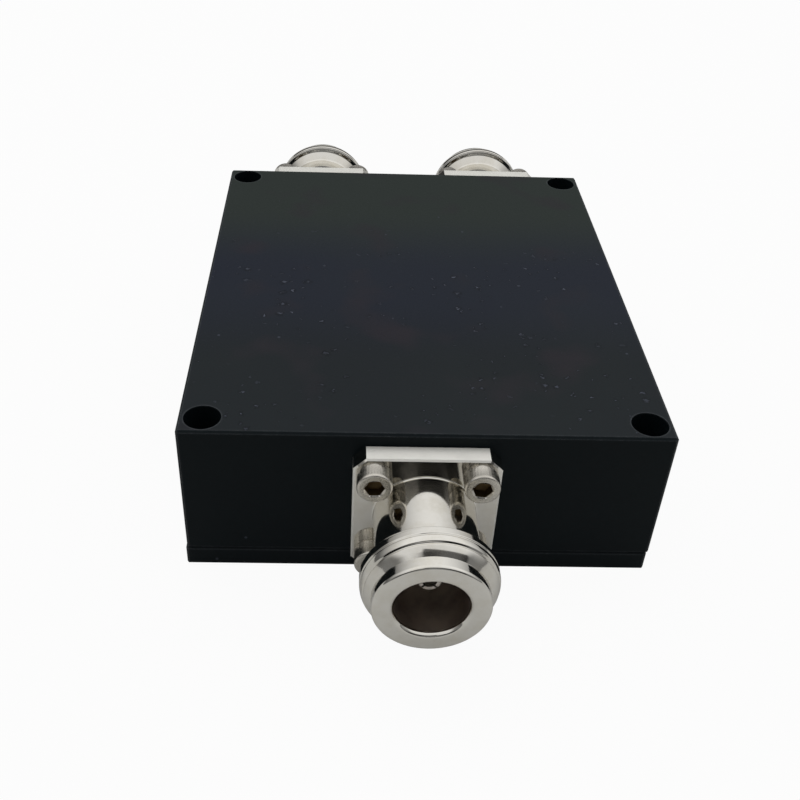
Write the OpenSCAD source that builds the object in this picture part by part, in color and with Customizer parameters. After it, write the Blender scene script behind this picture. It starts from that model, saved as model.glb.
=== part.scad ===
// Two-way radio-frequency power splitter.
// A milled housing, closed from below by a cover, holds a printed divider circuit. One coaxial
// flange connector, the input, stands on the -Y face and two, the outputs, on the +Y face.
// The origin is the middle of the cover's underside, +Z is up, and lengths are in millimetres.

/* [Housing] */
// Width of the housing
housing_w = 59; // [54:0.5:80]
// Depth of the housing between its two connector faces
housing_d = 71; // [66:0.5:110]
// Height of the milled block above the cover
housing_h = 19; // [19:0.5:30]
// Thickness of the two side walls
side_wall = 6; // [5.5:0.25:8]
// Thickness of the two end walls, which carry the connectors
end_wall = 6; // [5.5:0.25:8]
// Radius that the milling cutter leaves in the corners of the cavity
cavity_corner_r = 3; // [1.5:0.5:5]
// Edge break along the outer edges of the housing and the cover
edge_break = 0.3; // [0.1:0.05:0.5]

/* [Cover] */
// Thickness of the bottom cover
cover_t = 3; // [2.5:0.25:5]
// How far the outline of the cover sits off centre, towards -X
cover_shift = 0.15; // [0:0.05:0.3]
// Chamfer along both edges of the seam
seam_chamfer = 0.25; // [0.1:0.05:0.5]

/* [Mounting holes] */
// Diameter of the four through holes in the corners
mount_hole_d = 4.5; // [3:0.1:4.5]
// Distance from the centre of a hole to the side face
mount_inset_x = 2.9; // [2.7:0.05:3.5]
// Distance from the centre of a hole to the end face
mount_inset_y = 2.7; // [2.7:0.05:3.5]

/* [Connector shells] */
// Height of the input's axis above the seam
input_axis_h = 8.6; // [8.2:0.1:9.9]
// Height of the axes of the two outputs above the seam
output_axis_h = 9.9; // [8.2:0.1:9.9]
// Distance between the axes of the two outputs
output_spacing = 28.6; // [21:0.2:29]
// Side of the square flange
flange_w = 17.5; // [17:0.1:17.6]
// Thickness of the flange
flange_t = 2.6; // [1.5:0.1:4]
// Cut across the corners of the flange
flange_cut = 1.5; // [0.5:0.1:2]
// Edge break around the flange
flange_break = 0.2; // [0.05:0.05:0.4]
// Distance between neighbouring flange screws
flange_pitch = 12.5; // [12.4:0.1:13]
// Diameter of the barrel between the flange and the thread
barrel_d = 12.4; // [11:0.1:12.6]
// Length from the flange to the start of the thread, with the cone that leads up to it
barrel_l = 9.8; // [7:0.1:14]
// Radius of the fillet where the barrel runs into the flange
barrel_fillet = 0.2; // [0.05:0.05:0.25]
// Outside diameter of the coupling thread
thread_d = 15.875; // [15:0.125:16]
// Length of the thread at its full diameter, between the two cones
thread_l = 2.1; // [1.5:0.1:5]
// Diameter of the lip in front of the thread
lip_d = 13.4; // [11:0.1:14]
// Length of the lip in front of the thread
lip_l = 1.65; // [1:0.05:3]
// Edge break around the front of the lip
lip_break = 0.3; // [0.05:0.05:0.4]
// Inside diameter of the socket
socket_d = 8.4; // [8:0.1:9.5]
// Depth of the socket
socket_l = 9.2; // [8:0.1:10]
// Chamfer at the mouth of the socket
mouth_chamfer = 0.45; // [0.1:0.05:0.6]

/* [Insulators and contacts] */
// Diameter of the insulator inside the shell
bead_d = 7; // [5.5:0.1:7.2]
// Diameter of the insulator inside the end wall
wall_bead_d = 4.2; // [3:0.1:5]
// Outside diameter of the slotted contact
contact_d = 2.9; // [2.6:0.05:3.2]
// How far the tip of the contact lies behind the front of the lip
contact_recess = 4.15; // [4.1:0.05:5.5]
// Diameter of the bore that takes the pin of a plug
contact_bore_d = 1.65; // [1.6:0.05:1.8]
// Depth of that bore
contact_bore_l = 4.5; // [3.5:0.1:4.8]
// Width of the slots that let the contact spring
contact_slot_w = 0.25; // [0.15:0.05:0.3]
// How far the slots are turned from upright, in degrees
contact_slot_turn = 45; // [0:5:85]
// Length of contact that is seated in the insulator
contact_seat_l = 3; // [1.5:0.1:5]
// Diameter of the solder pin behind the contact
pin_d = 1.3; // [0.9:0.05:1.6]
// Length of the pin inside the cavity
pin_reach = 4; // [3:0.25:6]

/* [Circuit] */
// Thickness of the circuit board
board_t = 0.8; // [0.5:0.1:1.6]
// Gap between the board and the walls of the cavity
board_gap = 0.5; // [0.2:0.1:1]
// Thickness of the copper track
track_t = 0.1; // [0.05:0.05:0.2]
// Width of the input and output lines
line_w = 2.2; // [1.5:0.1:3]
// Width of the two arms, section by section from the input
arm_w = [0.8, 1.1, 1.4];
// Radius of the loop that each pair of arms makes
loop_r = 5; // [4:0.25:5.5]
// Length of the two straight stubs behind each loop, where a resistor bridges the arms
stub_l = 2.4; // [2:0.1:3]
// Gap between the two arms at a resistor
arm_gap = 1.6; // [1:0.1:2]
// Length of a chip resistor
resistor_l = 3.2; // [3:0.1:4]
// Width of a chip resistor
resistor_w = 1.6; // [1:0.1:1.8]
// Height of a chip resistor
resistor_h = 0.55; // [0.3:0.05:0.8]
// Length of each soldered end of a chip resistor
terminal_l = 0.6; // [0.3:0.05:0.7]
// Length of the solder beside a pin
solder_l = 2.5; // [1.5:0.1:3]
// Height of the solder beside a pin
solder_h = 0.8; // [0.5:0.05:0.9]

/* [Flange screws] */
// Diameter of the screws
flange_screw_d = 2.5; // [2:0.1:2.6]
// Diameter of the holes in the flange
flange_hole_d = 2.9; // [2.7:0.1:3.4]
// Diameter of the cylindrical head
cap_head_d = 4.2; // [4:0.1:4.6]
// Height of the head
cap_head_h = 2.3; // [2:0.1:3]
// Edge break around the top of the head
cap_head_break = 0.3; // [0.1:0.05:0.5]
// Size across the flats of the hexagon socket
cap_hex = 2.1; // [1.5:0.1:2.2]
// Depth of the hexagon socket
cap_hex_depth = 1.3; // [0.8:0.1:1.6]

/* [Cover screws] */
// Diameter of the screws
cover_screw_d = 2.5; // [2:0.1:2.6]
// Diameter of the holes in the cover
cover_hole_d = 2.8; // [2.7:0.1:3]
// Diameter of the countersunk head
sunk_head_d = 4.7; // [4:0.1:5]
// Height of the straight rim of the head
sunk_rim = 0.2; // [0.1:0.05:0.4]
// How far the head lies inside the cover
sunk_depth = 0.1; // [0:0.05:0.3]
// Size across the flats of the hexagon socket
sunk_hex = 1.5; // [1.2:0.1:1.8]
// Depth of the hexagon socket
sunk_hex_depth = 0.9; // [0.5:0.1:1.2]
// Length of thread in the housing
cover_thread_l = 6; // [4:0.5:7]
// Distance between the screws along a side wall
cover_screw_pitch = 18; // [14:0.5:22]

/* [Board screws] */
// Diameter of the screws
board_screw_d = 2; // [1.6:0.1:2.5]
// Diameter of the holes in the board
board_hole_d = 2.3; // [2.2:0.1:2.8]
// Diameter of the domed head
pan_head_d = 3.8; // [3.2:0.1:4.2]
// Height of the head
pan_head_h = 1.3; // [1:0.1:1.8]
// Width of the slot in the head
pan_slot_w = 0.5; // [0.3:0.05:0.7]
// Depth of the slot in the head
pan_slot_depth = 0.6; // [0.3:0.05:0.8]
// Length of thread in the housing
board_thread_l = 4; // [3:0.25:5]
// Distance from a screw to the edges of the board
board_screw_inset = 3.5; // [3:0.1:4.5]

/* [Hidden] */
$fn = 64;

// Radial clearance between pieces that nest
fit_gap = 0.05;
// How far a cut runs past the face that it opens
cut_past = 1;
// Depth of a tapped hole past the end of its screw
tap_past = 0.8;
// Distance from the end of a flange screw to the inner face of the wall
screw_end_gap = 0.5;
HEX_SIDES = 6;

// Heights
pin_seat = pin_d / 2 + fit_gap;
track_z = cover_t + max(input_axis_h, output_axis_h) + pin_seat;
board_z = track_z + track_t;
ceiling_z = board_z + board_t;

// Cavity, board and the inside of the end walls
cavity_w = housing_w - 2 * side_wall;
cavity_d = housing_d - 2 * end_wall;
board_w = cavity_w - 2 * board_gap;
board_d = cavity_d - 2 * board_gap;

// Connector, measured outwards from the face of the housing
thread_z = flange_t + barrel_l;
thread_end_z = thread_z + thread_l;
lip_z = thread_end_z + (thread_d - lip_d) / 2;
shell_l = lip_z + lip_l;
socket_z = shell_l - socket_l;
contact_z = shell_l - contact_recess;
contact_seat_z = socket_z - contact_seat_l;
// Disc under the barrel that carries the fillet
root_r = barrel_d / 2 + barrel_fillet + fit_gap;

// Ports: place along X, end of the housing, which is -1 for the input and 1 for the outputs, and
// height of the axis
INPUT = [0, -1, cover_t + input_axis_h];
LEFT_OUTPUT = [-output_spacing / 2, 1, cover_t + output_axis_h];
RIGHT_OUTPUT = [output_spacing / 2, 1, cover_t + output_axis_h];
PORTS = [INPUT, LEFT_OUTPUT, RIGHT_OUTPUT];

// Screws
flange_thread_l = end_wall - screw_end_gap;
sunk_cone = (sunk_head_d - cover_screw_d) / 2;
side_screw_x = housing_w / 2 - side_wall / 2;
end_screw_y = housing_d / 2 - end_wall / 2;
COVER_SCREWS = concat(
    [for (x = [-1, 1], y = [-1, 0, 1]) [x * side_screw_x, y * cover_screw_pitch]],
    [for (x = [-1, 1], y = [-1, 1]) [x * output_spacing / 2, y * end_screw_y]]);
BOARD_SCREWS = [for (x = [-1, 1], y = [-1, 0, 1])
    [x * (board_w / 2 - board_screw_inset), y * (board_d / 2 - board_screw_inset)]];

// Divider: loops in a row along Y, centred on the board
loop_pitch = 2 * loop_r + stub_l;
loops_l = len(arm_w) * loop_pitch;
loops_y = -loops_l / 2;
line_end_y = board_d / 2 - board_gap;
function loop_y(i) = loops_y + i * loop_pitch + loop_r;
function stub_y(i) = loop_y(i) + loop_r;

// Colours
BLACK_ANODISED = "#25272a";
NICKEL = "#c9c7c1";
STEEL = "#b4b4b2";
PTFE = "#ecebe4";
SILVER = "#c4c0b6";
BOARD_GREEN = "#3f5a44";
COPPER = "#b87345";
RESISTOR_BLACK = "#2a2a2c";
SOLDER = "#a9abae";

// Places a connector piece, modelled along +Z from the face of the housing, at a port
module at_port(port) {
    translate([port[0], port[1] * housing_d / 2, port[2]])
        rotate([-90 * port[1], 0, 0])
            children();
}

// Repeats a shape at the four flange screws, in the frame of a connector
module at_flange_screws() {
    for (x = [-1, 1], y = [-1, 1])
        translate([x * flange_pitch / 2, y * flange_pitch / 2])
            children();
}

// Repeats a shape at each point of a plan
module at_points(points) {
    for (p = points)
        translate([p[0], p[1]])
            children();
}

// Repeats a shape at the four mounting holes
module at_mount_holes() {
    for (x = [-1, 1], y = [-1, 1])
        translate([x * (housing_w / 2 - mount_inset_x), y * (housing_d / 2 - mount_inset_y)])
            children();
}

// Rectangle on the X axis whose corners are cut at 45 degrees
module cut_rectangle(w, h, low_cut, high_cut) {
    polygon([[-w / 2 + low_cut, 0], [w / 2 - low_cut, 0],
             [w / 2, low_cut], [w / 2, h - high_cut],
             [w / 2 - high_cut, h], [-w / 2 + high_cut, h],
             [-w / 2, h - high_cut], [-w / 2, low_cut]]);
}

// Block that stands on Z = 0, with every edge broken
module broken_block(w, d, h, low_cut, high_cut) {
    intersection() {
        rotate([90, 0, 0])
            linear_extrude(d, center = true)
                cut_rectangle(w, h, low_cut, high_cut);
        rotate([90, 0, 90])
            linear_extrude(w, center = true)
                cut_rectangle(d, h, low_cut, high_cut);
        linear_extrude(h)
            translate([0, -d / 2])
                cut_rectangle(w, d, edge_break, edge_break);
    }
}

// Plate that stands on Z = 0, with round corners
module round_plate(w, d, h, r) {
    linear_extrude(h) {
        square([w - 2 * r, d], center = true);
        square([w, d - 2 * r], center = true);
        for (x = [-1, 1], y = [-1, 1])
            translate([x * (w / 2 - r), y * (d / 2 - r)])
                circle(r);
    }
}

// Hexagon socket, cut downwards from Z = 0
module hex_socket(flats, depth) {
    translate([0, 0, -depth])
        cylinder(h = depth + cut_past, d = flats / cos(180 / HEX_SIDES), $fn = HEX_SIDES);
}

// Housing
module housing() {
    color(BLACK_ANODISED)
        difference() {
            translate([0, 0, cover_t])
                broken_block(housing_w, housing_d, housing_h, seam_chamfer, edge_break);
            translate([0, 0, cover_t - cut_past])
                round_plate(cavity_w, cavity_d, ceiling_z - cover_t + cut_past, cavity_corner_r);
            at_mount_holes()
                translate([0, 0, cover_t - cut_past])
                    cylinder(h = housing_h + 2 * cut_past, d = mount_hole_d);
            for (port = PORTS)
                at_port(port)
                    port_holes();
            at_points(COVER_SCREWS)
                translate([0, 0, cover_t - cut_past])
                    cylinder(h = cut_past + cover_thread_l + tap_past,
                             d = cover_screw_d + 2 * fit_gap);
            at_points(BOARD_SCREWS)
                translate([0, 0, ceiling_z - cut_past])
                    cylinder(h = cut_past + board_thread_l + tap_past,
                             d = board_screw_d + 2 * fit_gap);
        }
}

// Holes that a connector needs in the end wall: one for the insulator and four tapped ones
module port_holes() {
    translate([0, 0, -end_wall - cut_past])
        cylinder(h = end_wall + 2 * cut_past, d = wall_bead_d + 2 * fit_gap);
    at_flange_screws()
        translate([0, 0, -flange_thread_l - tap_past])
            cylinder(h = flange_thread_l + tap_past + cut_past, d = flange_screw_d + 2 * fit_gap);
}

// Bottom cover
module bottom_cover() {
    color(BLACK_ANODISED)
        difference() {
            translate([-cover_shift, 0, 0])
                broken_block(housing_w, housing_d, cover_t, edge_break, seam_chamfer);
            at_mount_holes()
                translate([0, 0, -cut_past])
                    cylinder(h = cover_t + 2 * cut_past, d = mount_hole_d);
            at_points(COVER_SCREWS)
                rotate_extrude()
                    countersink_profile();
        }
}

// Profile of a countersunk hole through the cover
module countersink_profile() {
    rim_r = sunk_head_d / 2 + fit_gap;
    hole_r = cover_hole_d / 2;
    rim_z = sunk_depth + sunk_rim;
    polygon([[0, -cut_past], [rim_r, -cut_past], [rim_r, rim_z],
             [hole_r, rim_z + rim_r - hole_r], [hole_r, cover_t + cut_past],
             [0, cover_t + cut_past]]);
}

// Countersunk screws of the cover
module cover_screws() {
    color(STEEL)
        at_points(COVER_SCREWS)
            difference() {
                rotate_extrude()
                    sunk_screw_profile();
                translate([0, 0, sunk_depth])
                    mirror([0, 0, 1])
                        hex_socket(sunk_hex, sunk_hex_depth);
            }
}

module sunk_screw_profile() {
    rim_z = sunk_depth + sunk_rim;
    end_z = cover_t + cover_thread_l;
    polygon([[0, sunk_depth], [sunk_head_d / 2, sunk_depth], [sunk_head_d / 2, rim_z],
             [cover_screw_d / 2, rim_z + sunk_cone], [cover_screw_d / 2, end_z], [0, end_z]]);
}

// Connector shell: a square flange, and everything that is turned in one piece with it
module connector_shell() {
    color(NICKEL)
        difference() {
            union() {
                flange();
                rotate_extrude()
                    shell_profile();
            }
            translate([0, 0, -cut_past])
                cylinder(h = socket_z + 2 * cut_past, d = bead_d + 2 * fit_gap);
            translate([0, 0, socket_z])
                cylinder(h = socket_l + cut_past, d = socket_d);
            translate([0, 0, shell_l - mouth_chamfer])
                cylinder(h = 2 * mouth_chamfer, d1 = socket_d, d2 = socket_d + 4 * mouth_chamfer);
            at_flange_screws()
                translate([0, 0, -cut_past])
                    cylinder(h = flange_t + 2 * cut_past, d = flange_hole_d);
        }
}

// Square plate with its corners cut and its edges broken
module flange() {
    across_corners = (flange_w - flange_cut) * sqrt(2);
    intersection() {
        flange_bar(flange_w);
        rotate(90)
            flange_bar(flange_w);
        rotate(45)
            flange_bar(across_corners);
        rotate(-45)
            flange_bar(across_corners);
    }
}

// Long bar with the section of the flange
module flange_bar(w) {
    rotate([90, 0, 0])
        linear_extrude(2 * flange_w, center = true)
            cut_rectangle(w, flange_t, flange_break, flange_break);
}

// Outer profile of the turned part of a shell: barrel, cone, thread, cone and lip
module shell_profile() {
    barrel_r = barrel_d / 2;
    thread_r = thread_d / 2;
    lip_r = lip_d / 2;
    square([root_r, flange_t]);
    translate([barrel_r, flange_t])
        difference() {
            square(barrel_fillet);
            translate([barrel_fillet, barrel_fillet])
                circle(barrel_fillet);
        }
    polygon([[0, 0], [barrel_r, 0], [barrel_r, thread_z - thread_r + barrel_r],
             [thread_r, thread_z], [thread_r, thread_end_z],
             [lip_r, lip_z], [lip_r, shell_l - lip_break],
             [lip_r - lip_break, shell_l], [0, shell_l]]);
}

// Insulator: a thick bead inside the shell and a thin one through the end wall
module connector_insulator() {
    color(PTFE)
        difference() {
            union() {
                cylinder(h = socket_z, d = bead_d);
                translate([0, 0, -end_wall])
                    cylinder(h = end_wall, d = wall_bead_d);
            }
            translate([0, 0, contact_seat_z])
                cylinder(h = contact_seat_l + cut_past, d = contact_d + 2 * fit_gap);
            translate([0, 0, -end_wall - cut_past])
                cylinder(h = end_wall + contact_seat_z + 2 * cut_past, d = pin_d + 2 * fit_gap);
        }
}

// Contact: a slotted socket in front, and a solder pin behind
module connector_contact() {
    color(SILVER)
        difference() {
            union() {
                translate([0, 0, contact_seat_z])
                    rotate_extrude()
                        contact_profile();
                translate([0, 0, -end_wall - pin_reach])
                    cylinder(h = end_wall + pin_reach + contact_seat_z + cut_past, d = pin_d);
            }
            translate([0, 0, contact_z - contact_bore_l])
                cylinder(h = contact_bore_l + cut_past, d = contact_bore_d);
            for (turn = [contact_slot_turn, contact_slot_turn + 90])
                rotate(turn)
                    translate([-contact_d, -contact_slot_w / 2, contact_z - contact_bore_l])
                        cube([2 * contact_d, contact_slot_w, contact_bore_l + cut_past]);
        }
}

// Profile of the socket of a contact, with its tip broken
module contact_profile() {
    tip_break = (contact_d - contact_bore_d) / 6;
    r = contact_d / 2;
    l = contact_z - contact_seat_z;
    polygon([[0, 0], [r, 0], [r, l - tip_break], [r - tip_break, l], [0, l]]);
}

// Socket-head screws of a flange
module connector_screws() {
    color(STEEL)
        at_flange_screws()
            difference() {
                union() {
                    translate([0, 0, -flange_thread_l])
                        cylinder(h = flange_thread_l + flange_t + cut_past, d = flange_screw_d);
                    translate([0, 0, flange_t])
                        rotate_extrude()
                            cap_head_profile();
                }
                translate([0, 0, flange_t + cap_head_h])
                    hex_socket(cap_hex, cap_hex_depth);
            }
}

module cap_head_profile() {
    r = cap_head_d / 2;
    polygon([[0, 0], [r, 0], [r, cap_head_h - cap_head_break],
             [r - cap_head_break, cap_head_h], [0, cap_head_h]]);
}

// Circuit board, screwed to the ceiling of the cavity with its track facing down
module circuit_board() {
    color(BOARD_GREEN)
        difference() {
            translate([0, 0, board_z])
                round_plate(board_w, board_d, board_t, cavity_corner_r - board_gap);
            at_points(BOARD_SCREWS)
                translate([0, 0, board_z - cut_past])
                    cylinder(h = board_t + 2 * cut_past, d = board_hole_d);
        }
}

// Copper track of the divider
module divider_track() {
    color(COPPER)
        translate([0, 0, track_z])
            linear_extrude(track_t) {
                input_line();
                for (i = [0 : len(arm_w) - 1]) {
                    loop_arms(i);
                    stub_pair(i);
                }
                for (side = [-1, 1])
                    output_line(side);
            }
}

// Line from the input pin to the first loop
module input_line() {
    translate([-line_w / 2, -line_end_y])
        square([line_w, line_end_y + loops_y + arm_w[0]]);
}

// Two half circles that make one section of the divider, open where they meet the next one
module loop_arms(i) {
    half_w = arm_w[i] / 2;
    translate([0, loop_y(i)])
        difference() {
            circle(loop_r + half_w);
            circle(loop_r - half_w);
            translate([-arm_gap / 2, 0])
                square([arm_gap, 2 * loop_r]);
            if (i > 0)
                translate([-arm_gap / 2, -2 * loop_r])
                    square([arm_gap, 2 * loop_r]);
        }
}

// Two straight stubs behind a loop
module stub_pair(i) {
    for (side = [-1, 1])
        translate([side * (arm_gap + arm_w[i]) / 2 - arm_w[i] / 2, stub_y(i) - arm_w[i]])
            square([arm_w[i], stub_l + 2 * arm_w[i]]);
}

// Line from the last loop to an output pin
module output_line(side) {
    turn_y = loops_y + loops_l;
    last_w = arm_w[len(arm_w) - 1];
    inner_x = arm_gap / 2;
    outer_x = output_spacing / 2 + line_w / 2;
    mirror([side < 0 ? 1 : 0, 0]) {
        translate([inner_x, turn_y])
            square([outer_x - inner_x, last_w]);
        translate([outer_x - line_w, turn_y])
            square([line_w, line_end_y - turn_y]);
    }
}

// Places a resistor piece across the two stubs behind a loop
module at_resistors() {
    for (i = [0 : len(arm_w) - 1])
        translate([0, stub_y(i) + stub_l / 2, track_z - resistor_h])
            children();
}

// Chip resistors that bridge the two arms
module isolation_resistors() {
    color(RESISTOR_BLACK)
        at_resistors()
            translate([0, 0, resistor_h / 2])
                cube([resistor_l - 2 * terminal_l, resistor_w, resistor_h], center = true);
}

// Soldered ends of the chip resistors
module resistor_terminals() {
    color(SOLDER)
        at_resistors()
            for (side = [-1, 1])
                translate([side * (resistor_l - terminal_l) / 2, 0, resistor_h / 2])
                    cube([terminal_l, resistor_w, resistor_h], center = true);
}

// Domed, slotted screws of the circuit board
module board_screws() {
    color(STEEL)
        at_points(BOARD_SCREWS) {
            translate([0, 0, board_z - pan_head_h])
                difference() {
                    union() {
                        rotate_extrude()
                            pan_head_profile();
                        cylinder(h = pan_head_h + board_t + board_thread_l, d = board_screw_d);
                    }
                    translate([-pan_head_d / 2, -pan_slot_w / 2, -cut_past])
                        cube([pan_head_d, pan_slot_w, cut_past + pan_slot_depth]);
                }
        }
}

// Profile of a domed head whose crown faces down
module pan_head_profile() {
    intersection() {
        square([pan_head_d / 2, pan_head_h]);
        translate([0, pan_head_d / 2])
            circle(pan_head_d / 2);
    }
    translate([0, pan_head_h / 2])
        square([pan_head_d / 2, pan_head_h / 2]);
}

// Solder between each pin and the track, on both sides of the pin
module solder_fillets() {
    color(SOLDER)
        for (port = PORTS)
            at_port(port)
                translate([0, 0, -end_wall - pin_reach])
                    linear_extrude(solder_l)
                        mirror([0, port[1] > 0 ? 1 : 0])
                            solder_profile(track_z - port[2]);
}

// Section of the solder around a pin, up to the track at a height above the pin's axis
module solder_profile(track_y) {
    low_y = pin_seat - solder_h;
    difference() {
        union() {
            polygon([[-line_w / 2, pin_seat], [line_w / 2, pin_seat],
                     [pin_d / 2, low_y], [-pin_d / 2, low_y]]);
            if (track_y > pin_seat)
                translate([-line_w / 2, pin_seat])
                    square([line_w, track_y - pin_seat]);
        }
        circle(pin_seat + fit_gap);
    }
}

// Pieces of one connector
module connector(port, piece) {
    at_port(port) {
        if (piece == "shell") connector_shell();
        if (piece == "insulator") connector_insulator();
        if (piece == "contact") connector_contact();
        if (piece == "screws") connector_screws();
    }
}

housing();
bottom_cover();
cover_screws();
connector(INPUT, "shell");  // input_shell
connector(INPUT, "insulator");  // input_insulator
connector(INPUT, "contact");  // input_contact
connector(INPUT, "screws");  // input_screws
connector(LEFT_OUTPUT, "shell");  // left_output_shell
connector(LEFT_OUTPUT, "insulator");  // left_output_insulator
connector(LEFT_OUTPUT, "contact");  // left_output_contact
connector(LEFT_OUTPUT, "screws");  // left_output_screws
connector(RIGHT_OUTPUT, "shell");  // right_output_shell
connector(RIGHT_OUTPUT, "insulator");  // right_output_insulator
connector(RIGHT_OUTPUT, "contact");  // right_output_contact
connector(RIGHT_OUTPUT, "screws");  // right_output_screws
circuit_board();
divider_track();
isolation_resistors();
resistor_terminals();
board_screws();
solder_fillets();
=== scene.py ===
import math

import bmesh
import bpy
from bpy.props import FloatProperty, FloatVectorProperty, PointerProperty
from mathutils import Matrix, Vector


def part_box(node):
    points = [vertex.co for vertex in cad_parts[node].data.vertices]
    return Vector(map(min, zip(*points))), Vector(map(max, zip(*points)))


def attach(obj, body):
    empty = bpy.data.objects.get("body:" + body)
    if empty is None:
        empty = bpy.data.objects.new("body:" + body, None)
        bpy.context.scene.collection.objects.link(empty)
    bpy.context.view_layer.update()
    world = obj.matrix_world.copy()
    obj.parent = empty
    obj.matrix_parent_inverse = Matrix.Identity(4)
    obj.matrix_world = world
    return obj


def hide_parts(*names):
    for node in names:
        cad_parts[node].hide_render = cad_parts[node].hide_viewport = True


bl_info = {
    "name": "Power Splitter",
    "version": (1, 0, 0),
    "blender": (4, 5, 0),
    "location": "View3D > Sidebar > Splitter",
    "description": "Dresses the packed power splitter with finishes, threads, screws and a stage",
    "category": "Object",
}

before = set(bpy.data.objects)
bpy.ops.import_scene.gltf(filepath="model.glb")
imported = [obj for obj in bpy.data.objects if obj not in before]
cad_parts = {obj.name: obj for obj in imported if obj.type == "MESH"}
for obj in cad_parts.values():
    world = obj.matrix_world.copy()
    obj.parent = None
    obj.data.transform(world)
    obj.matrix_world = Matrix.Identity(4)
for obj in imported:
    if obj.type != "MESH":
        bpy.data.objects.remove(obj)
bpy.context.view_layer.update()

MM = 0.001
BODY = "root"
PORTS = ("input", "left_output", "right_output")
SHELL_LOW, SHELL_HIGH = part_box("input_shell")

# Vertices around a turned surface, around a flange hole and around a screw
SHELL_COLUMNS = 160
HOLE_COLUMNS = 40
SCREW_COLUMNS = 180
# Rings along the threaded part of a shell
THREAD_RINGS = 260
# Height of the collar's back shoulder for each unit of its length
SHOULDER_RISE = 4.5
# The thread's groove deepens over the first range, from the collar's back edge on, and fades over
# the second one, from the end of its full diameter on
THREAD_RUN_IN = (0.1 * MM, 0.9 * MM)
THREAD_RUN_OUT = (0.2 * MM, 0.5 * MM)
# Steps of a rounded edge, and the narrow band beside it that keeps the flat beyond it flat
ROUND_STEPS = 5
FLAT_EDGE = 0.05 * MM
QUARTER = math.pi / 2.0
# Edges sharper than this stay crisp
CRISP_ANGLE = math.radians(32)
# Name of the vertex value that turning marks follow
TURNING = "turning"
# Material slots of a connector's body: turned skin, polished flange, milled edges, socket
TURNED, FACE, MILLED, BORE = range(4)
# Rings of a body's section that lie inside its socket
BORE_RINGS = 4
# Material slots of a screw: outside and hexagon
OUTSIDE, HEXAGON = range(2)
# Rings of a screw's section that lie inside its hexagon
HEXAGON_RINGS = 3
# Ridges around the head of a screw
KNURL_RIDGES = 36
# Radius of the small face in the middle of each end of a screw
SCREW_MIDDLE = 0.02 * MM
# How far each of a flange's four screws is turned, in degrees, connector by connector
SCREW_TURNS = {
    "input": (12.0, 2.0, 44.0, -9.0),
    "left_output": (25.0, 8.0, 51.0, 37.0),
    "right_output": (3.0, 47.0, 19.0, 33.0),
}

# Where along the top its dusty colour, painted paler as light from above, turns bluish, then
# greenish and paler, and where its specks grow few
TURNS_BLUE = (-22.0 * MM, -4.0 * MM)
TURNS_GREEN = (2.0 * MM, 22.0 * MM)
SPECKS_END = (4.0 * MM, 16.0 * MM)
# Layers of specks: cells in a metre, largest radius as a part of a cell, part of cells with a speck
SPECK_LAYERS = ((640.0, 0.17, 0.36), (330.0, 0.13, 0.30))
# How far noise shifts the outline of a speck
SPECK_SHIFT = (1.3 * MM, 1.3 * MM, 0.0)

# Camera, in metres and degrees
CAMERA_PLACE = (-0.01044, -0.12645, 0.09647)
CAMERA_TURN = (52.63, -1.66, -0.58)
CAMERA_SHIFT = (0.043, 0.0)
SENSOR_WIDTH = 36.0
NEAREST_SEEN = 1.0 * MM
LAMP_PLACE = Vector((-0.1, 0.22, 0.6))
# The floor lies this far below the part, so that their faces are apart
FLOOR_GAP = 0.02 * MM
WHITE = (1.0, 1.0, 1.0)
# How white the floor is to the camera, and how white in mirrors
FLOOR_SEEN = 0.95
FLOOR_MIRRORED = 0.05

# The room by direction: two values of a direction's part along an axis, and the brightness at each.
# By height in front of the part, by height behind it, by depth at the far end, and from below
ROOM_AHEAD = (0.33, 0.56, 0.2, 0.8)
ROOM_BEHIND = (0.05, 0.75, 0.12, 1.0)
ROOM_FAR_END = (0.74, 0.88, 1.0, 0.35)
ROOM_BELOW = (-0.12, -0.04, 0.6, 0.0)
# Where the front of the room passes into its back, and how much its back leans to one side
ROOM_MIDDLE = (-0.5, -0.1)
ROOM_LEAN = 0.11
# A dark ring in front, around the part's long axis: its outer and its inner edge
RING_OUTER = (-0.735, -0.706, 0.02, 1.0)
RING_INNER = (-0.90, -0.84, 1.0, 0.02)
# A dark screen, which shows in bright metal: its middle, the normal of its band, its edges
SCREEN = Vector((0.34, -0.68, 0.65)).normalized()
SCREEN_BAND = Vector((0.157, 0.723, 0.673)).normalized()
SCREEN_ENDS = (0.83, 0.88, 0.0, 1.0)
SCREEN_LOW_EDGE = (-0.118, -0.092, 0.0, 1.0)
SCREEN_HIGH_EDGE = (0.06, 0.10, 1.0, 0.0)
SCREEN_BRIGHTNESS = 0.15


def length(name, description, default):
    """A size in metres."""
    return FloatProperty(
        name=name, description=description, default=default, min=0.0, unit="LENGTH", precision=5)


def colour(name, description, default):
    """A colour without alpha."""
    return FloatVectorProperty(
        name=name, description=description, default=default, size=3, min=0.0, max=1.0,
        subtype="COLOR")


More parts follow.
